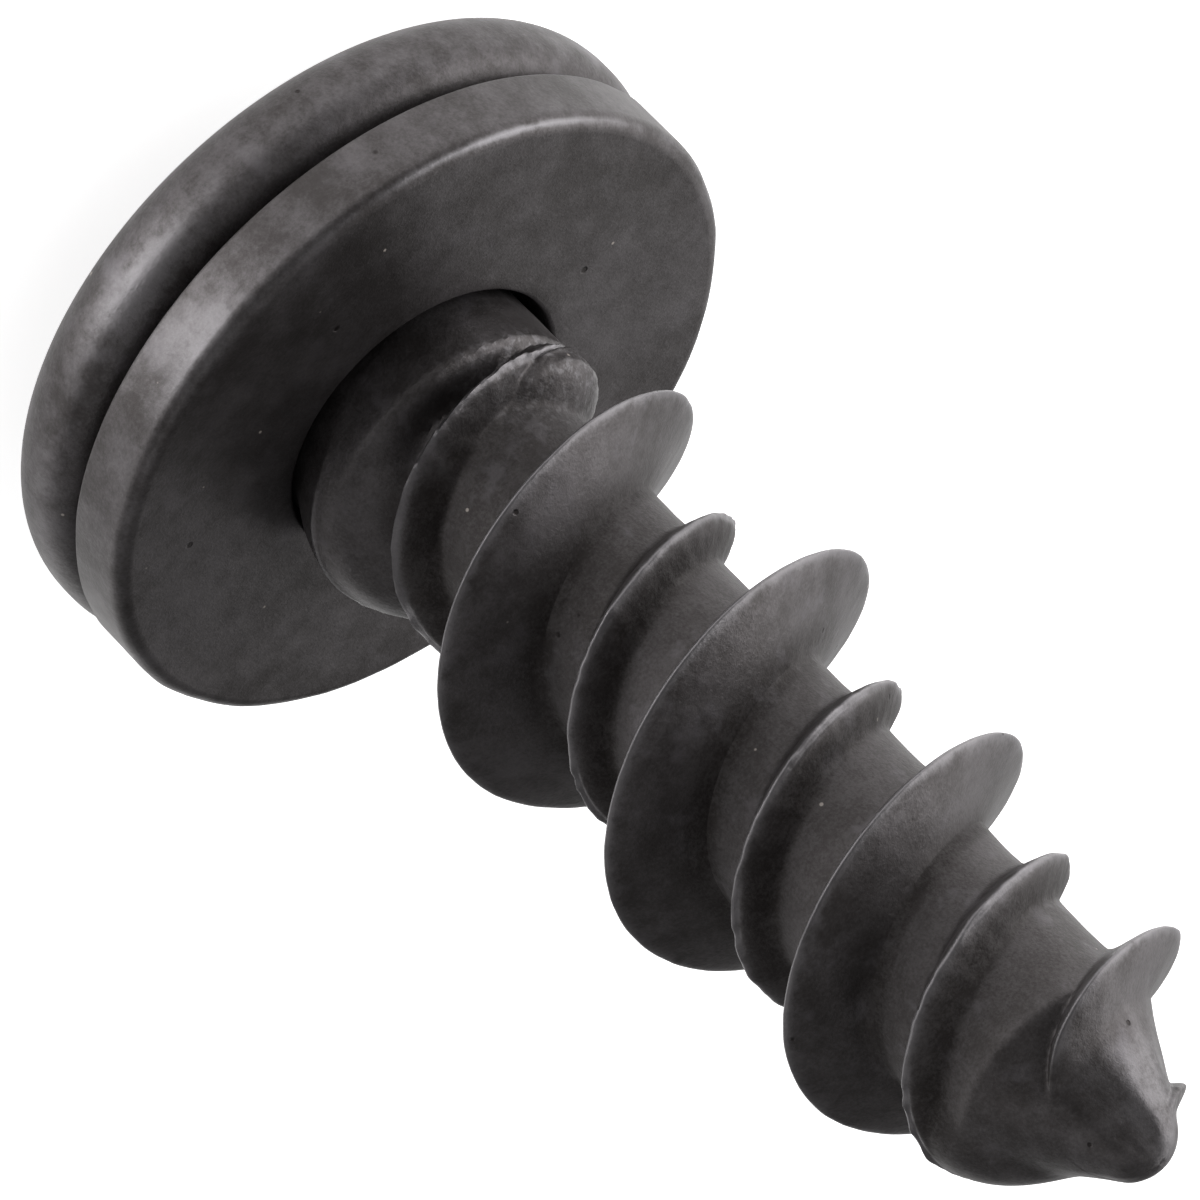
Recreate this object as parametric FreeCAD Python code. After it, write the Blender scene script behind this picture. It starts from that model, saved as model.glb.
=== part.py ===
import FreeCAD, Part
import os
from math import cos, pi, radians, sin, tan

from FreeCAD import Vector

# Pan-head screw with a double-start high-low thread and a captive flat washer.
# Millimetres. The screw axis is Z and +Z runs from the head to the point.
# The origin is on the axis, in the plane of the washer's bearing face.

# ---- driving dimensions -----------------------------------------------------
# washer
washer_radius = 3.99
washer_thickness = 0.82
washer_hole_radius = 1.715
washer_face_round = 0.18      # worn round on the bearing side of the rim
washer_back_round = 0.06
washer_hole_round = 0.05

# head
head_gap = 0.12               # free float between the washer and the head
head_radius = 4.02
head_edge_round = 0.485       # round under the rim
head_rim_height = 0.11        # upright band of the rim
head_corner_round = 0.60
head_corner_turn = 58.0       # degrees of the corner before the crown begins
head_land_radius = 0.80       # flat on top of the crown

# drive recess, a No. 2 cross
recess_span = 4.20
recess_wing = 1.05
recess_depth = 1.75
recess_floor_span = 1.90
recess_floor_wing = 0.80
recess_centre_radius = 1.00
recess_centre_floor = 0.50
recess_point_depth = 0.30

# shank and core
shank_radius = 1.60
shank_end = 0.68              # the plain shank stops this far past the washer
neck_end = 0.92               # the shank has narrowed to the core here
core_radius_head = 1.18
core_radius_point = 1.23
core_end = 10.70
point_radius = 0.52
point_end = 12.40

# thread: one high and one low ridge, right hand, both with the same lead
lead = 2.822
high_phase = 0.308            # share of a lead at which the high ridge crosses +X
low_lag = 0.495               # the low ridge follows the high one by this share
phase_plane = -0.182          # height that the phases are counted from
high_half_angle = 23.0
low_half_angle = 29.5
high_land = 0.04              # half the width of the crest
low_land = 0.06
ridge_root_depth = 0.23       # how far each ridge is sunk into the core

# crest radius against height, straight between the stations
high_crest = [(0.06, 1.45), (0.50, 1.95), (1.90, 2.19), (4.40, 2.31), (8.40, 2.00),
              (10.50, 1.93), (11.60, 1.05), (12.05, 0.50)]
low_crest = [(0.60, 1.45), (0.95, 1.62), (4.60, 1.60), (10.00, 1.62), (11.30, 1.38),
             (12.00, 0.45)]
stations_per_turn = 20


def revolve(edges):
    """Solid of revolution about Z from a closed chain of edges in the XZ plane."""
    face = Part.Face(Part.Wire(edges))
    return face.revolve(Vector(0, 0, 0), Vector(0, 0, 1), 360)


def line(start, end):
    return Part.LineSegment(Vector(start[0], 0, start[1]), Vector(end[0], 0, end[1])).toShape()


def arc(centre, radius, start_angle, end_angle):
    """Arc in the XZ plane. Angles are in degrees from +X towards +Z."""
    points = []
    for angle in (start_angle, (start_angle + end_angle) / 2, end_angle):
        turn = radians(angle)
        points.append(Vector(centre[0] + radius * cos(turn), 0, centre[1] + radius * sin(turn)))
    return Part.Arc(points[0], points[1], points[2]).toShape()


def between(stations, height):
    """Value of a straight-segment curve at a height, held level past its ends."""
    if height <= stations[0][0]:
        return stations[0][1]
    for (low, at_low), (high, at_high) in zip(stations, stations[1:]):
        if height <= high:
            return at_low + (at_high - at_low) * (height - low) / (high - low)
    return stations[-1][1]


def core_radius(height):
    stations = [(shank_end, shank_radius), (neck_end, core_radius_head), (core_end, core_radius_point),
                (point_end - point_radius, point_radius)]
    return between(stations, height)


# ---- washer -----------------------------------------------------------------
def make_washer():
    back = -washer_thickness
    hole = washer_hole_radius
    rim = washer_radius
    edges = [
        line((hole, back), (rim - washer_back_round, back)),
        arc((rim - washer_back_round, back + washer_back_round), washer_back_round, -90, 0),
        line((rim, back + washer_back_round), (rim, -washer_face_round)),
        arc((rim - washer_face_round, -washer_face_round), washer_face_round, 0, 90),
        line((rim - washer_face_round, 0), (hole + washer_hole_round, 0)),
        arc((hole + washer_hole_round, -washer_hole_round), washer_hole_round, 90, 180),
        line((hole, -washer_hole_round), (hole, back)),
    ]
    return revolve(edges)


# ---- screw ------------------------------------------------------------------
def head_under():
    return -washer_thickness - head_gap


def crown_top():
    """Height of the flat on the crown, and the crown's radius and centre height."""
    turn = radians(head_corner_turn)
    rim_top = head_under() - head_edge_round - head_rim_height
    corner_x = head_radius - head_corner_round * (1 - cos(turn))
    corner_z = rim_top - head_corner_round * sin(turn)
    crown_radius = (corner_x - head_land_radius) / cos(turn)
    centre_z = corner_z + crown_radius * sin(turn)
    return centre_z - crown_radius, crown_radius, centre_z


def make_blank():
    """Head, plain shank, thread core and point, before rolling."""
    under = head_under()
    rim_low = under - head_edge_round
    rim_top = rim_low - head_rim_height
    top, crown_radius, crown_z = crown_top()
    cone_end = point_end - point_radius
    edges = [
        line((0, top), (head_land_radius, top)),
        arc((head_land_radius, crown_z), crown_radius, -90, -head_corner_turn),
        arc((head_radius - head_corner_round, rim_top), head_corner_round, -head_corner_turn, 0),
        line((head_radius, rim_top), (head_radius, rim_low)),
        arc((head_radius - head_edge_round, rim_low), head_edge_round, 0, 90),
        line((head_radius - head_edge_round, under), (shank_radius, under)),
        line((shank_radius, under), (shank_radius, shank_end)),
        line((shank_radius, shank_end), (core_radius_head, neck_end)),
        line((core_radius_head, neck_end), (core_radius_point, core_end)),
        line((core_radius_point, core_end), (point_radius, cone_end)),
        arc((0, cone_end), point_radius, 0, 90),
        line((0, point_end), (0, top)),
    ]
    return revolve(edges)


def ridge_section(phase, crest, half_angle, half_land, height):
    """Flat outline of a ridge, in the plane of the axis, where its crest is at this height."""
    turn = 2 * pi * ((height - phase_plane) / lead - phase)
    crest_r = between(crest, height)
    base_r = min(core_radius(height), crest_r) - ridge_root_depth
    half_base = half_land + (crest_r - base_r) * tan(radians(half_angle))
    outline = [(base_r, -half_base), (crest_r, -half_land), (crest_r, half_land), (base_r, half_base)]
    corners = [Vector(r * cos(turn), r * sin(turn), height + z) for r, z in outline]
    return Part.makePolygon(corners + corners[:1])


def make_ridge(phase, crest, half_angle, half_land):
    """One helical ridge, lofted through its outlines from the run-in to the point."""
    start, end = crest[0][0], crest[-1][0]
    count = int((end - start) / lead * stations_per_turn) + 1
    sections = []
    for step in range(count + 1):
        height = start + (end - start) * step / count
        sections.append(ridge_section(phase, crest, half_angle, half_land, height))
    return Part.makeLoft(sections, True)


def rectangle(length, width, height):
    x, y = length / 2, width / 2
    corners = [Vector(-x, -y, height), Vector(x, -y, height), Vector(x, y, height), Vector(-x, y, height)]
    return Part.makePolygon(corners + corners[:1])


def make_recess():
    """Tapered cross cut into the crown."""
    top = crown_top()[0]
    floor = top + recess_depth
    mouth = top - 0.05
    wing = Part.makeLoft([rectangle(recess_span, recess_wing, mouth),
                          rectangle(recess_floor_span, recess_floor_wing, floor)], True)
    other_wing = wing.copy()
    other_wing.rotate(Vector(0, 0, 0), Vector(0, 0, 1), 90)
    middle = Part.makeCone(recess_centre_radius, recess_centre_floor, floor - mouth, Vector(0, 0, mouth))
    point = Part.makeCone(recess_centre_floor, 0, recess_point_depth, Vector(0, 0, floor))
    return wing.fuse([other_wing, middle, point])


def make_screw():
    blank = make_blank().cut(make_recess())
    high = make_ridge(high_phase, high_crest, high_half_angle, high_land)
    low = make_ridge(high_phase + low_lag, low_crest, low_half_angle, low_land)
    screw = blank.fuse([high, low])
    if screw.ShapeType == "Compound" and len(screw.Solids) == 1:
        screw = screw.Solids[0]
    return screw


# ---- output -----------------------------------------------------------------
def export(name, shape):
    shape.exportStep("parts/" + name + ".step")
    box = shape.BoundBox
    print(name, shape.ShapeType, "valid", shape.isValid(), "solids", len(shape.Solids),
          "volume %.2f" % shape.Volume, "z %.3f to %.3f" % (box.ZMin, box.ZMax), "x %.3f" % box.XLength)


os.makedirs("parts", exist_ok=True)
export("captive_washer", make_washer())
export("threaded_screw", make_screw())
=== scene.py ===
import math
import bpy
from mathutils import Matrix, Vector, noise


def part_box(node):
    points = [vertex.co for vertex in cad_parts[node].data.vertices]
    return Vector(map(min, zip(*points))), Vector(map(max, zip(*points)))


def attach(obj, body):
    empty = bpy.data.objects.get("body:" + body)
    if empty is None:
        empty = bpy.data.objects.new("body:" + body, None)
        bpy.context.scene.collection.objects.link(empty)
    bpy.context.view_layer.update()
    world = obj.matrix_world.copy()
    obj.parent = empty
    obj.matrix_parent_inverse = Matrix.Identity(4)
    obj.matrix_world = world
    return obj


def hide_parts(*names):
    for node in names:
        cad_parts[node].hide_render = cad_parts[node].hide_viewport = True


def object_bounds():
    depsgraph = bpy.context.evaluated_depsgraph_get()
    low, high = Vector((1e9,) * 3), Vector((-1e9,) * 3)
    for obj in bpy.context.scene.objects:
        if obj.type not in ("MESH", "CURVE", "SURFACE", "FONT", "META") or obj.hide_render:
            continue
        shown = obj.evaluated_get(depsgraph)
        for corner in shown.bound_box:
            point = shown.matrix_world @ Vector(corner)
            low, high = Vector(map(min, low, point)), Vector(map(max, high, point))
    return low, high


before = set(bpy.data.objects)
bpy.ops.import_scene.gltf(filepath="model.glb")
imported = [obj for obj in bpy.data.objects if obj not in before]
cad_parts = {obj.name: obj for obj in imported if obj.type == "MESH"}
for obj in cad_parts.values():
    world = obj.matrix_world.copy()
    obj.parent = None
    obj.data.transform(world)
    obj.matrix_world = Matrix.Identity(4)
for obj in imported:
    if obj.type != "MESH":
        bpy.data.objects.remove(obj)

# The pieces are shaped in millimetres and brought down to metres when they are finished.
cadBox = [list(corner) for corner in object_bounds()]
screwLow, screwHigh = [corner * 1000 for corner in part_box("threaded_screw")]
washerLow, washerHigh = [corner * 1000 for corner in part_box("captive_washer")]

thread = {
    "lead": 2.822,             # advance in one turn
    "highPhase": 0.308,        # share of a lead at which the high ridge crosses +X
    "lowLag": 0.495,           # the low ridge follows the high one by this share
    "phasePlane": -0.182,      # height that the phases are counted from
    "highSlope": 0.42,         # run of a flank for each unit of height
    "lowSlope": 0.52,
    "highEdge": 0.045,         # how blunt the crest is
    "lowEdge": 0.065,
    "rootBlend": 0.05,         # fillet where a flank meets the core
    "highCrest": [(0.10, 1.40), (0.30, 1.62), (0.37, 1.70), (0.48, 1.84), (0.69, 1.88), (1.30, 2.00), (2.10, 2.13),
                  (3.00, 2.24), (4.40, 2.31), (8.40, 2.06), (9.20, 2.05), (10.50, 1.93), (10.96, 1.56),
                  (11.20, 1.22), (11.35, 0.95), (11.55, 0.60), (11.80, 0.20)],
    "lowCrest": [(0.55, 1.40), (0.95, 1.62), (4.60, 1.60), (10.00, 1.62), (10.60, 1.56), (11.30, 1.25),
                 (11.70, 0.92), (11.96, 0.62), (12.10, 0.45), (12.30, 0.20)],
    "lowDrift": [(0.70, 0.05), (1.00, -0.10), (1.30, -0.21), (1.75, -0.21), (2.60, 0.0)],
    "shank": 1.60,
    "shankEnd": 0.62,
    "neck": 0.26,              # run from the shank down to the core
    "neckReach": 0.75,         # and this much more on +X
    "seam": 0.035,             # depth of the rolled seam in the low ridge's crest
    "swell": 1.88,             # broad start of the high ridge, on +X
    "lobe": 1.66,              # thick start of the low ridge, on -X
    "lobeHeights": (0.82, 1.06),
    "lastSwell": 1.50,         # broad end of the low ridge, on +X
    "noseShift": 0.08,         # the nose stands a little off the axis, towards -X
    "noseFlat": 0.25,          # a flat side on the nose, this far from its middle at the end
    "noseFlatLean": 0.70,      # and this much further out for each unit towards the head
    "noseFlatTurn": -98.0,
    "coreHead": 1.18,
    "corePoint": 1.23,
    "noseRadius": 0.50,
    "coneLean": 31.0,          # degrees between the cone's side and the axis
    "highFoot": 0.50,          # the darkest painted shade in the root lies this far past a crest
    "lowFoot": 0.22,
    "crestWearAndHighlightWidth": 0.060,        # half width of the crests lighter from wear, whose colour also paints their highlight
    "around": 168,             # faces in one turn
    "rows": 80,                # rows of faces in one lead
    "crowding": 0.65,          # how much the rows close up at the two crests
    "foot": -0.50,             # where the threaded part is joined to the head
    "startUntil": 1.6,         # the swell is part of the ridge's first turn only, up to this height
    "startRun": (0.75, 0.35),  # how fast the swell falls off along the axis, and round it
    "lobeTurn": 190.0,         # middle of the low ridge's lobe, and how fast it falls off round the axis
    "lobeRun": 0.8,
    "lobeUntil": 2.5,
    "endFrom": 10.0,
    "endRun": (0.85, 0.6),
    "wander": 0.02,            # slow wander of both crests
    "highNick": 0.006,         # depth of the nicks in each crest
    "lowNick": 0.022,
    "coreRough": 0.010,
    "startRough": (0.014, 0.010),
    "seamWidth": 0.028,
    "noseHighlightTurn": 212.0,          # the side of the nose where a highlight is painted, and how strong it is
    "rubAndHighlight": 0.66,
    "footWidth": 0.17,
}
head = {
    "gap": 0.12,
    "edgeRound": 0.485,
    "rim": 0.11,
    "corner": 0.60,
    "cornerTurn": 58.0,
    "land": 0.80,
    "shankFillet": 0.10,
    "recessSpan": 4.20,
    "recessWing": 1.05,
    "recessDepth": 1.75,
    "recessFloorShare": 0.45,
    "recessFloorWingShare": 0.76,
    "recessCentre": 1.00,
    "recessCentreFloor": 0.50,
    "recessCentreTurn": 0.06,  # keeps the cone's edges off the wings' edges
    "wearAndHighlightNear": 0.30,          # reach of the wear band on the rim and its painted highlight
    "highlightTurn": 287,           # the side where the highlight is painted, and how far that spreads
    "highlightSpread": 13,
    "grooveIn": 0.30,          # the painted shade of the groove: in from the rim, up from the underside, and its reach
    "grooveUp": 0.02,
    "grooveReach": 0.24,
}
washer = {
    "hole": 1.715,
    "faceRound": 0.18,
    "backRound": 0.06,
    "holeRound": 0.05,
    "around": 180,
    "steps": 12,               # rings between the hole and the rim
    "faceWearAndHighlight": (0.045, 228, 22),   # front edge with wear and a painted highlight: reach, side of the painted highlight, spread
    "rimWearAndHighlight": (0.30, 288, 14),
    "holeWearAndHighlight": (0.03, 200, 40),
    # painted shade of the groove at the back rim: in from the rim, and its reach
    "grooveIn": 0.1,
    "grooveReach": 0.10,
    "dent": 0.012,             # how far the stamped face wanders
    "dentCoarse": 1.3,
}
grooveShadeShare = 0.5               # how dark the painted shade in the groove between head and washer is


def deselectAll():
    if bpy.context.mode != "OBJECT":
        bpy.ops.object.mode_set(mode="OBJECT")
    bpy.ops.object.select_all(action="DESELECT")


def pick(*objects):
    deselectAll()
    for obj in objects:
        obj.select_set(True)
    bpy.context.view_layer.objects.active = objects[0]


def applyModifier(obj, kind, **settings):
    pick(obj)
    modifier = obj.modifiers.new(kind.title(), kind)
    for key, value in settings.items():
        setattr(modifier, key, value)
    bpy.ops.object.modifier_apply(modifier=modifier.name)


def along(stations, place):
    # value of a chain of straight stretches, level past its ends
    if place <= stations[0][0]:
        return stations[0][1]
    for (low, atLow), (high, atHigh) in zip(stations, stations[1:]):
        if place <= high:
            return atLow + (atHigh - atLow) * (place - low) / (high - low)
    return stations[-1][1]


def smoothStep(low, high, value):
    share = min(max((value - low) / (high - low), 0), 1)
    return share * share * (3 - 2 * share)


def arcPoints(centre, radius, start, end, steps):
    points = []
    for step in range(steps + 1):
        turn = math.radians(start + (end - start) * step / steps)
        points.append((centre[0] + radius * math.cos(turn), centre[1] + radius * math.sin(turn)))
    return points


# A chain of edges in the XZ plane: one corner of a small plane is kept, then extruded from point to point.
def drawOutline(name, outline):
    deselectAll()
    bpy.ops.mesh.primitive_plane_add(size=0.1, location=(0, 0, 0))
    obj = bpy.context.object
    obj.name = name
    bpy.ops.object.mode_set(mode="EDIT")
    bpy.ops.mesh.select_mode(type="VERT")
    bpy.ops.mesh.select_all(action="DESELECT")
    bpy.ops.object.mode_set(mode="OBJECT")
    for vertex in obj.data.vertices:
        vertex.select = vertex.index > 0
    bpy.ops.object.mode_set(mode="EDIT")
    bpy.ops.mesh.delete(type="VERT")
    bpy.ops.mesh.select_all(action="SELECT")
    here = Vector((-0.05, -0.05, 0))
    bpy.ops.transform.translate(value=Vector((outline[0][0], 0, outline[0][1])) - here)
    for start, end in zip(outline, outline[1:]):
        step = (end[0] - start[0], 0, end[1] - start[1])
        bpy.ops.mesh.extrude_region_move(TRANSFORM_OT_translate={"value": step})
    bpy.ops.object.mode_set(mode="OBJECT")
    return obj


def spinRound(obj, steps):
    pick(obj)
    bpy.ops.object.mode_set(mode="EDIT")
    bpy.ops.mesh.select_all(action="SELECT")
    bpy.ops.mesh.spin(steps=steps, angle=2 * math.pi, center=(0, 0, 0), axis=(0, 0, 1))
    bpy.ops.mesh.select_all(action="SELECT")
    bpy.ops.mesh.remove_doubles(threshold=0.0005)
    bpy.ops.mesh.normals_make_consistent(inside=False)
    bpy.ops.object.mode_set(mode="OBJECT")


def selectWhere(obj, test):
    # selects the vertices that pass a test of their place, in vertex mode
    pick(obj)
    bpy.ops.object.mode_set(mode="EDIT")
    bpy.ops.mesh.select_mode(type="VERT")
    bpy.ops.mesh.select_all(action="DESELECT")
    bpy.ops.object.mode_set(mode="OBJECT")
    for vertex in obj.data.vertices:
        vertex.select = test(vertex.co)
    bpy.ops.object.mode_set(mode="EDIT")


def addMarks(piece):
    # a number at each vertex for every kind of mark that the materials read: wear with painted highlights, painted
    # shade, and the rough start
    return [piece.data.attributes.new(name, "FLOAT", "POINT") for name in ("wearAndHighlight", "root", "rough")]


# the threaded shank
noseLean = math.radians(thread["coneLean"])
noseCentre = screwHigh.z - thread["noseRadius"]
noseStart = noseCentre + thread["noseRadius"] * math.sin(noseLean)
noseEdge = thread["noseRadius"] * math.cos(noseLean)
noseArc = thread["noseRadius"] * (math.pi / 2 - noseLean)
coneStart = noseStart - (thread["corePoint"] - noseEdge) / math.tan(noseLean)


def coreRadius(angle, height):
    side = max(math.cos(angle), 0)
    shankEnd = thread["shankEnd"] - 0.12 * side
    neckEnd = shankEnd + thread["neck"] + thread["neckReach"] * side
    share = (height - shankEnd) / (coneStart - shankEnd)
    core = thread["coreHead"] + (thread["corePoint"] - thread["coreHead"]) * min(max(share, 0), 1)
    if height > coneStart:
        core -= (height - coneStart) * math.tan(noseLean)
        facing = math.cos(angle - math.radians(thread["noseFlatTurn"]))
        if facing > 0.3:
            flat = thread["noseFlat"] + thread["noseFlatLean"] * (screwHigh.z - 0.12 - height)
            core = -blendMax(-core, -max(flat, 0.05) / facing, 0.04)
        return core
    return thread["shank"] + (core - thread["shank"]) * smoothStep(shankEnd, neckEnd, height)


def ridgeOffset(angle, height, phase):
    # distance along the axis to the nearest turn of a ridge
    turns = (height - thread["phasePlane"]) / thread["lead"] - angle / (2 * math.pi) - phase
    return (turns - round(turns)) * thread["lead"]


def ridgeHeight(offset, crest, edge, slope):
    return crest - (math.sqrt(offset * offset + edge * edge) - edge) / slope


def blendMax(first, second, width):
    return (first + second + math.sqrt((first - second) ** 2 + width * width)) / 2


def threadShape(angle, height):
    # radius, crest wear with painted highlights, painted shade in the root and rough start, each at one place of
    # the thread
    around = Vector((math.cos(angle), math.sin(angle), 0)) * 1.5 + Vector((0, 0, height))
    high = ridgeOffset(angle, height, thread["highPhase"])
    low = ridgeOffset(angle, height - along(thread["lowDrift"], height), thread["highPhase"] + thread["lowLag"])
    core = coreRadius(angle, height)
    start = smoothStep(0.35, 0.65, height) * (1 - smoothStep(1.3, 1.9, height))
    wander = noise.noise(around * 1.1) * thread["wander"]
    nick = noise.noise(around * 7)
    radius = core + noise.noise(around * 2.5) * thread["coreRough"]
    if height - high < thread["startUntil"]:
        runAlong, runRound = thread["startRun"]
        swell = thread["swell"] - runAlong * high * high - runRound * angle * angle
        radius = blendMax(radius, swell, thread["rootBlend"] * 2)
    if height < thread["lobeUntil"]:
        aside = (angle % (2 * math.pi)) - math.radians(thread["lobeTurn"])
        lobeStart, lobeEnd = thread["lobeHeights"]
        beyond = max(lobeStart - height, height - lobeEnd, 0)
        lobe = ridgeHeight(beyond, thread["lobe"], 0.10, 0.45) - thread["lobeRun"] * aside * aside
        radius = blendMax(radius, lobe, thread["rootBlend"] * 2)
    if height - low > thread["endFrom"] and low > 0:
        runAlong, runRound = thread["endRun"]
        swell = thread["lastSwell"] - runAlong * low * low - runRound * angle * angle
        radius = blendMax(radius, swell, thread["rootBlend"] * 2)
    wearAndHighlight = 0
    highTop = along(thread["highCrest"], height - high) + wander + nick * thread["highNick"]
    lowTop = along(thread["lowCrest"], height - low) + wander + nick * thread["lowNick"]
    for offset, crest, edge, slope in ((high, highTop, thread["highEdge"], thread["highSlope"]),
                                       (low, lowTop, thread["lowEdge"], thread["lowSlope"])):
        ridge = ridgeHeight(offset, crest, edge, slope)
        if ridge > radius - 0.3:
            radius = blendMax(radius, ridge, thread["rootBlend"]) if height > 0 else max(radius, ridge)
        stands = min(max((crest - core) / 0.3, 0), 1)
        wearAndHighlight = max(wearAndHighlight, math.exp(-((offset / thread["crestWearAndHighlightWidth"]) ** 2)) * stands)
    rough = start * smoothStep(-1.0, 0.2, -math.cos(angle + 0.9))
    coarse, fine = thread["startRough"]
    radius += rough * (noise.noise(around * 9) * coarse + noise.noise(around * 19) * fine)
    seam = math.exp(-(((low - 0.035 - nick * 0.02) / thread["seamWidth"]) ** 2))
    seam *= smoothStep(-0.1, 0.25, noise.noise(around * 0.8))
    if radius > core + 0.25:
        radius -= seam * thread["seam"]
    # painted shade: darker where the surface lies near the core, darkest just past each crest
    root = (1 - smoothStep(0.02, 0.40, radius - core)) * smoothStep(0.8, 1.2, height)
    feet = [((offset - foot) / thread["footWidth"]) ** 2
            for offset, foot in ((high, thread["highFoot"]), (low, thread["lowFoot"]))]
    root = max(0.55 * root, math.exp(-min(feet)) * smoothStep(0.9, 1.5, height))
    root *= 1 - 0.9 * smoothStep(coneStart - 0.4, coneStart + 0.3, height)
    # a highlight painted on one side of the nose, in the colour of bare metal
    noseHighlight = smoothStep(coneStart + 0.2, coneStart + 0.9, height)
    noseHighlight *= max(math.cos(angle - math.radians(thread["noseHighlightTurn"])), 0) ** 2
    wearAndHighlight = max(wearAndHighlight, thread["rubAndHighlight"] * noseHighlight)
    return radius, wearAndHighlight, root, rough


def makeThread():
    lead = thread["lead"]
    centre = lead * thread["highPhase"] + thread["phasePlane"]
    start = centre - 2 * lead
    outline = []
    for row in range(thread["rows"] + 1):
        share = row / thread["rows"]
        bunched = share - thread["crowding"] * math.sin(4 * math.pi * share) / (4 * math.pi)
        outline.append((thread["shank"], start + lead * bunched))
    shank = drawOutline("threadRows", outline)
    turns = math.ceil((screwHigh.z + 1 - start) / lead)
    applyModifier(shank, "SCREW", screw_offset=lead, angle=2 * math.pi, iterations=turns, steps=thread["around"],
                  render_steps=thread["around"], use_normal_calculate=True)
    # the modifier leaves the turns apart, so they are closed here
    bpy.ops.object.mode_set(mode="EDIT")
    bpy.ops.mesh.select_all(action="SELECT")
    bpy.ops.mesh.remove_doubles(threshold=0.002)
    bpy.ops.mesh.select_all(action="SELECT")
    bpy.ops.mesh.bisect(plane_co=(0, 0, thread["foot"]), plane_no=(0, 0, 1), clear_inner=True,
                        threshold=0.0002)
    bpy.ops.mesh.select_all(action="SELECT")
    top = noseStart + noseArc * 0.97
    bpy.ops.mesh.bisect(plane_co=(0, 0, top), plane_no=(0, 0, 1), clear_outer=True, threshold=0.0002)
    bpy.ops.object.mode_set(mode="OBJECT")
    marks = addMarks(shank)
    for vertex in shank.data.vertices:
        angle = math.atan2(vertex.co.y, vertex.co.x)
        height = vertex.co.z
        radius, *looks = threadShape(angle, min(height, noseStart))
        if height > noseStart:
            turn = noseLean + (height - noseStart) / thread["noseRadius"]
            shift = radius - noseEdge
            radius = thread["noseRadius"] * math.cos(turn) + shift * (1 - smoothStep(noseLean, 1.5, turn))
            height = noseCentre + thread["noseRadius"] * math.sin(turn)
        for mark, look in zip(marks, looks):
            mark.data[vertex.index].value = look
        shift = thread["noseShift"] * smoothStep(coneStart, noseStart, height)
        vertex.co = Vector((radius * math.cos(angle) - shift, radius * math.sin(angle), height))
    tip = max(vertex.co.z for vertex in shank.data.vertices)
    selectWhere(shank, lambda place: place.z > tip - 0.004)
    bpy.ops.mesh.merge(type="CENTER")
    bpy.ops.object.mode_set(mode="OBJECT")
    return shank


# the head
def crownCurve():
    turn = math.radians(head["cornerTurn"])
    under = washerLow.z - head["gap"]
    rimTop = under - head["edgeRound"] - head["rim"]
    cornerX = screwHigh.x - head["corner"] * (1 - math.cos(turn))
    cornerZ = rimTop - head["corner"] * math.sin(turn)
    radius = (cornerX - head["land"]) / math.cos(turn)
    return under, rimTop, radius, cornerZ + radius * math.sin(turn)


def markRims(piece, rims, groove):
    # rims with wear all round and a painted highlight on one side: each is (radius, height, how near, turn of the
    # painted highlight, spread)
    # the groove is the painted shade (radius, height, how near) between head and washer
    wearAndHighlight, dark, _ = addMarks(piece)
    for vertex in piece.data.vertices:
        place = vertex.co
        value = 0
        for radius, height, near, turn, spread in rims:
            away = math.hypot(place.xy.length - radius, place.z - height) / near
            # the wear is even all round; the peak on one side is a painted highlight
            aside = (math.degrees(math.atan2(place.y, place.x)) - turn + 180) % 360 - 180
            rubbedAndHighlighted = 0.25 + 0.75 * math.exp(-((aside / spread) ** 2))
            value = max(value, math.exp(-away * away) * rubbedAndHighlighted)
        wearAndHighlight.data[vertex.index].value = value
        # painted shade in the groove between head and washer
        away = math.hypot(place.xy.length - groove[0], place.z - groove[1]) / groove[2]
        dark.data[vertex.index].value = grooveShadeShare * math.exp(-away * away)


def dent(piece, amount, coarse):
    for vertex in piece.data.vertices:
        place = vertex.co
        push = noise.noise(place * coarse) + 0.5 * noise.noise(place * coarse * 2.3)
        outward = Vector((place.x, place.y, 0)).normalized()
        share = smoothStep(washer["hole"] + 0.3, washer["hole"] + 1.5, place.xy.length)
        vertex.co += (outward + Vector((0, 0, 0.6))) * push * amount * share


def makeHead():
    under, rimTop, crownRadius, crownZ = crownCurve()
    rimLow = under - head["edgeRound"]
    rim = screwHigh.x
    fillet = head["shankFillet"]
    outline = [(0, crownZ - crownRadius)]
    outline += arcPoints((head["land"], crownZ), crownRadius, -90, -head["cornerTurn"], 16)
    outline += arcPoints((rim - head["corner"], rimTop), head["corner"], -head["cornerTurn"], 0, 10)[1:]
    outline += arcPoints((rim - head["edgeRound"], rimLow), head["edgeRound"], 0, 90, 12)
    outline += arcPoints((thread["shank"] + fillet, under + fillet), fillet, -90, -180, 5)
    outline.append((thread["shank"], thread["foot"] - 0.04))
    body = drawOutline("head", outline)
    spinRound(body, thread["around"])
    groove = (rim - head["grooveIn"], under - head["grooveUp"], head["grooveReach"])
    # wear round the rim with a highlight painted on one side, and painted shade in the groove
    markRims(body, [(rim, rimLow + 0.1, head["wearAndHighlightNear"], head["highlightTurn"], head["highlightSpread"])], groove)
    return body


def cutAway(body, cutter):
    pick(cutter)
    bpy.ops.object.transform_apply(location=True, rotation=True, scale=True)
    applyModifier(body, "BOOLEAN", object=cutter, operation="DIFFERENCE", solver="EXACT")
    bpy.data.objects.remove(cutter)


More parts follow.
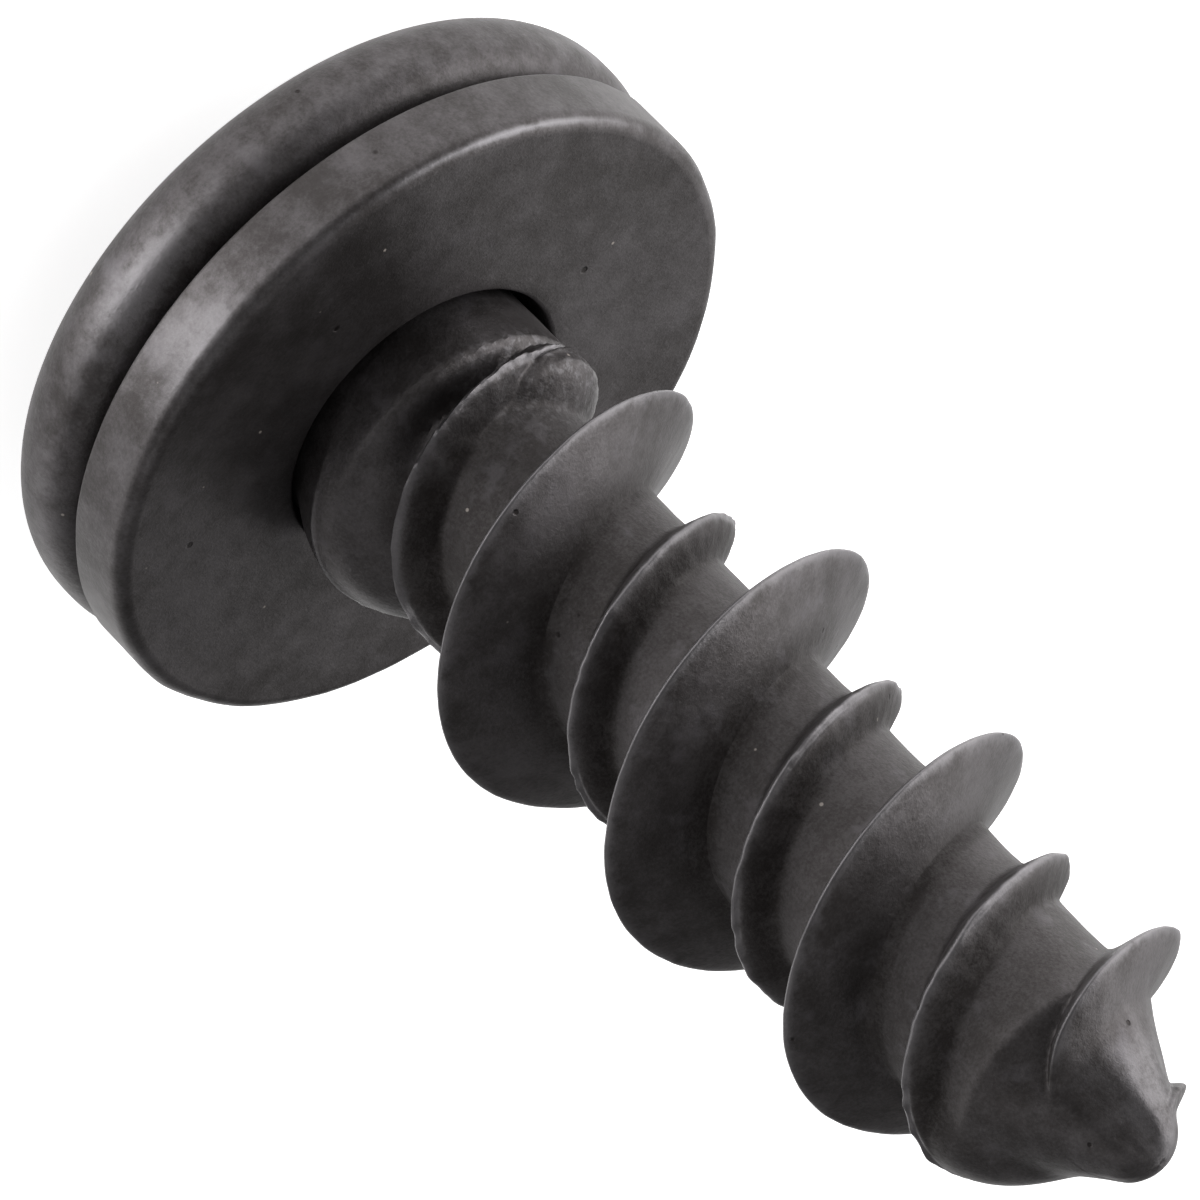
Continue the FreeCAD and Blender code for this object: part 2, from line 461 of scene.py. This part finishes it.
def cutRecess(body):
    top = screwLow.z
    depth = head["recessDepth"]
    tall = depth + 0.2         # the cutters start outside the crown
    for turn in (0, math.pi / 2):
        deselectAll()
        bpy.ops.mesh.primitive_cube_add(size=1, location=(0, 0, top + depth / 2 - 0.1), rotation=(0, 0, turn),
                                        scale=(head["recessSpan"], head["recessWing"], tall))
        cutter = bpy.context.object
        for vertex in cutter.data.vertices:
            if vertex.co.z > 0:
                vertex.co.x *= head["recessFloorShare"]
                vertex.co.y *= head["recessFloorWingShare"]
        cutAway(body, cutter)
    deselectAll()
    bpy.ops.mesh.primitive_cone_add(vertices=48, radius1=head["recessCentre"], radius2=head["recessCentreFloor"],
                                    depth=tall, location=(0, 0, top + depth / 2 - 0.09),
                                    rotation=(0, 0, head["recessCentreTurn"]))
    cutAway(body, bpy.context.object)


def makeScrew():
    shank = makeThread()
    body = makeHead()
    cutRecess(body)
    pick(body, shank)
    bpy.ops.object.join()
    # the only open edges are the two rings that face each other at the foot
    pick(body)
    bpy.ops.object.mode_set(mode="EDIT")
    bpy.ops.mesh.select_mode(type="EDGE")
    bpy.ops.mesh.select_all(action="DESELECT")
    bpy.ops.mesh.select_non_manifold(extend=False, use_wire=False, use_boundary=True, use_multi_face=False,
                                     use_non_contiguous=False, use_verts=False)
    bpy.ops.mesh.bridge_edge_loops()
    bpy.ops.mesh.select_all(action="SELECT")
    bpy.ops.mesh.normals_make_consistent(inside=False)
    bpy.ops.object.mode_set(mode="OBJECT")
    body.name = "screwBody"
    return body


# the washer
def makeWasher():
    rim = washerHigh.x
    back = washerLow.z
    face = washerHigh.z
    hole = washer["hole"]
    steps = washer["steps"]
    outline = [(hole, back + 0.03), (hole + 0.03, back)]
    for step in range(1, steps):
        outline.append((hole + (rim - hole) * step / steps, back))
    outline += arcPoints((rim - washer["backRound"], back + washer["backRound"]), washer["backRound"], -90, 0, 4)
    outline += arcPoints((rim - washer["faceRound"], face - washer["faceRound"]), washer["faceRound"], 0, 90, 10)
    for step in range(steps - 1, 0, -1):
        outline.append((hole + (rim - hole) * step / steps, face))
    outline += arcPoints((hole + washer["holeRound"], face - washer["holeRound"]), washer["holeRound"], 90, 180, 4)
    outline.append(outline[0])
    ring = drawOutline("flatWasher", outline)
    spinRound(ring, washer["around"])
    # front edge, rim and hole get wear with a highlight painted on one side; the back rim gets painted shade in
    # the groove
    corner = washer["faceRound"] * 0.3
    rims = [(rim - corner, face - corner, *washer["faceWearAndHighlight"]), (rim, (face + back) / 2, *washer["rimWearAndHighlight"]),
            (hole, face, *washer["holeWearAndHighlight"])]
    markRims(ring, rims, (rim - washer["grooveIn"], back, washer["grooveReach"]))
    dent(ring, washer["dent"], washer["dentCoarse"])
    return ring


def finishPiece(piece, body, node):
    pick(piece)
    bpy.ops.object.shade_smooth_by_angle(angle=math.radians(38))
    piece.scale = (0.001, 0.001, 0.001)
    bpy.ops.object.transform_apply(location=False, rotation=False, scale=True)
    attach(piece, body)
    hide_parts(node)


screwBody = makeScrew()
print("screw shaped", len(screwBody.data.polygons), "faces")
flatWasher = makeWasher()
print("washer shaped", len(flatWasher.data.polygons), "faces")


# materials
class Flow:
    # one shader socket; sums and products on it add Math nodes
    def __init__(self, tree, socket):
        self.tree = tree
        self.socket = socket

    def node(self, kind, settings, values, output=0):
        made = self.tree.nodes.new(kind)
        for key, value in settings.items():
            setattr(made, key, value)
        for key, value in values.items():
            if isinstance(value, Flow):
                self.tree.links.new(value.socket, made.inputs[key])
            else:
                made.inputs[key].default_value = value
        return Flow(self.tree, made.outputs[output]) if made.outputs else made

    def math(self, operation, first, second):
        return self.node("ShaderNodeMath", {"operation": operation}, {0: first, 1: second})

    def __add__(self, other):
        return self.math("ADD", self, other)

    __radd__ = __add__

    def __mul__(self, other):
        return self.math("MULTIPLY", self, other)

    __rmul__ = __mul__

    def __sub__(self, other):
        return self.math("SUBTRACT", self, other)

    def __rsub__(self, other):
        return self.math("SUBTRACT", other, self)


def blackOxide(name, look):
    material = bpy.data.materials.new(name)
    material.use_nodes = True
    tree = material.node_tree
    tree.nodes.clear()
    flow = Flow(tree, None)

    def noiseAt(scale, detail, roughness=0.6):
        return flow.node("ShaderNodeTexNoise", {}, {"Vector": place, "Scale": scale, "Detail": detail,
                                                    "Roughness": roughness})

    def mark(layer):
        return flow.node("ShaderNodeAttribute", {"attribute_name": layer}, {}, "Fac")

    def ramp(value, low, high):
        return flow.node("ShaderNodeMapRange", {"interpolation_type": "SMOOTHSTEP"},
                         {"Value": value, "From Min": low, "From Max": high}, "Result")

    def blend(share, first, second):
        return flow.node("ShaderNodeMix", {"data_type": "RGBA"}, {"Factor": share, 6: first, 7: second}, 2)

    def dots(scale, size, share):
        # round spots in a few of the cells
        cells = flow.node("ShaderNodeTexVoronoi", {}, {"Vector": place, "Scale": scale}, "Distance")
        chance = flow.node("ShaderNodeTexVoronoi", {}, {"Vector": place, "Scale": scale}, "Color")
        chance = flow.node("ShaderNodeSeparateColor", {}, {"Color": chance}, "Red")
        return (1 - ramp(cells, size * 0.5, size)) * ramp(chance, 1 - share, 1 - share * 0.7)

    place = flow.node("ShaderNodeTexCoord", {}, {}, "Object")
    place = flow.node("ShaderNodeVectorMath", {"operation": "SCALE"}, {0: place, "Scale": 1000.0})
    cloud = noiseAt(look["cloud"], 4.0)
    stain = noiseAt(look["stain"], 5.0, 0.7)
    grain = noiseAt(look["grain"], 2.0, 0.7)
    wearAndHighlight = mark("wearAndHighlight")
    root = mark("root")
    rough = mark("rough")
    shade = 0.42 + 1.5 * (cloud - 0.5) + 1.1 * (stain - 0.5) + 0.7 * (grain - 0.5)
    colour = blend(ramp(shade, 0.0, 1.0), look["dark"], look["pale"])
    # painted shade in the roots and in the groove between head and washer, mixed towards a near-black
    rootShade = blend(ramp(stain + 0.6 * (grain - 0.5), 0.35, 0.70), look["pitAndShadeBlack"], look["dark"])
    colour = blend(ramp(root + 0.8 * (stain - 0.5), 0.10, 1.0) * look["rootDepth"], colour, rootShade)
    # crests and rims lighter from wear; this colour also paints the highlights on crests, rims and nose
    rubbedAndHighlighted = wearAndHighlight * ramp(stain + 0.35 * wearAndHighlight, 0.42, 0.80)
    bare = noiseAt(look["stain"] * 0.7, 3.0)
    patches = ramp(bare, 0.56, 0.72) * (1 - 0.6 * root) * look["patches"]
    colour = blend(rubbedAndHighlighted * look["rubAndHighlight"], colour, look["steelAndHighlight"])
    colour = blend(patches, colour, look["bloom"])
    stipple = rough * ramp(noiseAt(11.0, 2.0), 0.50, 0.66) * (1 - 0.8 * root)
    colour = blend(stipple * 0.22, colour, look["steelAndHighlight"])
    dust = dots(look["dust"], 0.055, 0.45)
    pits = dots(look["pits"], 0.14, 0.06)
    colour = blend(pits * 0.8, colour, look["pitAndShadeBlack"])
    colour = blend(dust * 0.7, colour, look["lint"])
    height = 0.35 * grain + (1.2 + 0.9 * root) * stain - 1.2 * pits + 0.9 * rough * noiseAt(9.0, 3.0)
    bump = flow.node("ShaderNodeBump", {}, {"Strength": 1.0, "Distance": look["relief"] * 0.001, "Height": height})
    shader = flow.node("ShaderNodeBsdfPrincipled", {}, {
        "Base Color": colour, "Metallic": look["metal"] - 0.25 * root - 0.6 * dust,
        "Roughness": 0.36 + 0.24 * cloud + 0.15 * root - 0.08 * rubbedAndHighlighted, "Normal": bump})
    flow.node("ShaderNodeOutputMaterial", {}, {"Surface": shader})
    return material


screwLook = {
    "cloud": 0.7, "stain": 3.2, "grain": 26.0, "dust": 2.0, "pits": 3.5, "relief": 0.009, "metal": 0.80,
    "dark": (0.046, 0.041, 0.040, 1), "pale": (0.118, 0.109, 0.112, 1),
    # the near-black of pits, also used for the painted shade in roots and groove
    "pitAndShadeBlack": (0.014, 0.010, 0.009, 1), "rootDepth": 0.85,
    # the bare-metal colour, which also paints the highlights
    "steelAndHighlight": (0.32, 0.31, 0.325, 1), "rubAndHighlight": 0.34,
    "bloom": (0.15, 0.14, 0.15, 1), "patches": 0.40,
    "lint": (0.45, 0.40, 0.36, 1),
}
washerLook = dict(screwLook, cloud=0.45, stain=2.2, relief=0.008, patches=0.20, rubAndHighlight=0.55, dust=2.2, pits=2.6)
screwBody.data.materials.clear()
screwBody.data.materials.append(blackOxide("screwBlackOxide", screwLook))
flatWasher.data.materials.clear()
flatWasher.data.materials.append(blackOxide("washerBlackOxide", washerLook))
finishPiece(screwBody, "screw", "threaded_screw")
finishPiece(flatWasher, "washer", "captive_washer")
print("pieces finished")

# floor, lights and camera
studio = {
    "floorWidth": 0.6,
    "lean": 59.93,            # degrees between the view and the screw's axis
    "roll": 135.82,           # the camera is turned so that the point is at the lower right
    "distance": 135.3,
    "fieldWidth": 12.746,      # width of the view where the screw is
    "aimRight": 1.977,        # the aim's place from the washer's rim, across and up the view
    "aimUp": -2.031,
}


def makeFloor():
    deselectAll()
    bpy.ops.mesh.primitive_plane_add(size=studio["floorWidth"], location=(0, 0, cadBox[0][2]))
    floor = bpy.context.object
    floor.name = "studioFloor"
    bpy.ops.object.transform_apply(location=True, rotation=True, scale=True)
    material = bpy.data.materials.new("paleFloor")
    material.use_nodes = True
    shader = material.node_tree.nodes["Principled BSDF"]
    shader.inputs["Base Color"].default_value = (0.9, 0.9, 0.9, 1)
    shader.inputs["Roughness"].default_value = 0.8
    shader.inputs["Emission Color"].default_value = (1, 1, 1, 1)
    shader.inputs["Emission Strength"].default_value = studioLights["floorGlow"]
    floor.data.materials.append(material)


def makeCamera():
    data = bpy.data.cameras.new("studioCamera")
    camera = bpy.data.objects.new("studioCamera", data)
    bpy.context.scene.collection.objects.link(camera)
    lean = Matrix.Rotation(math.radians(studio["lean"]), 3, "X")
    turn = lean @ Matrix.Rotation(math.radians(studio["roll"]), 3, "Z")
    rimCentre = Vector((0, 0, washerHigh.z - washer["faceRound"]))
    aim = rimCentre + turn @ Vector((studio["aimRight"], studio["aimUp"], studio["distance"]))
    camera.matrix_world = Matrix.Translation(aim * 0.001) @ turn.to_4x4()
    data.sensor_width = 36
    data.lens = data.sensor_width * studio["distance"] / studio["fieldWidth"]
    data.clip_start = 0.005
    data.clip_end = 5
    bpy.context.scene.camera = camera


def makeSoftbox(name, place, width, glow):
    # a square softbox that faces the screw, with its glow as the brightness of its own surface
    data = bpy.data.lights.new(name, "AREA")
    data.size = width * 0.001
    data.energy = glow * math.pi * data.size ** 2
    light = bpy.data.objects.new(name, data)
    bpy.context.scene.collection.objects.link(light)
    aim = Vector((0, 0, 0.004))
    spot = Vector(place) * 0.001
    light.matrix_world = Matrix.Translation(spot) @ (spot - aim).to_track_quat("Z", "Y").to_matrix().to_4x4()


def makePool(name, place, target, radius, power):
    # a narrow lamp that brightens a patch of the floor, for the lights in the rims
    data = bpy.data.lights.new(name, "SPOT")
    start = Vector(place) * 0.001
    run = Vector(target) * 0.001 - start
    data.spot_size = 2 * math.atan(radius * 0.001 / run.length)
    data.spot_blend = 0.6
    data.shadow_soft_size = 0.001
    data.energy = power
    light = bpy.data.objects.new(name, data)
    bpy.context.scene.collection.objects.link(light)
    light.matrix_world = Matrix.Translation(start) @ (-run).to_track_quat("Z", "Y").to_matrix().to_4x4()


studioLights = {
    "key": ((-31, 5, 20), 40, 3.0),
    "back": ((-30, 60, 44), 60, 1.5),
    "top": ((0, -10, 90), 40, 0.5),
    "fill": ((24, -8, 26), 22, 0.6),
    "pool": ((10, -34, 60), (3.2, -7.6, -2.9), 3.2, 0.7),
    "room": 0.17,
    "floorGlow": 0.85,
}
makeFloor()
makeCamera()
makeSoftbox("keySoftbox", *studioLights["key"])
makeSoftbox("backSoftbox", *studioLights["back"])
makeSoftbox("topSoftbox", *studioLights["top"])
makeSoftbox("fillSoftbox", *studioLights["fill"])
makePool("floorPool", *studioLights["pool"])
world = bpy.data.worlds.new("studioWorld")
world.use_nodes = True
world.node_tree.nodes["Background"].inputs["Color"].default_value = (1, 1, 1, 1)
world.node_tree.nodes["Background"].inputs["Strength"].default_value = studioLights["room"]
bpy.context.scene.world = world
bpy.context.scene.view_settings.view_transform = "Standard"
print("studio ready")
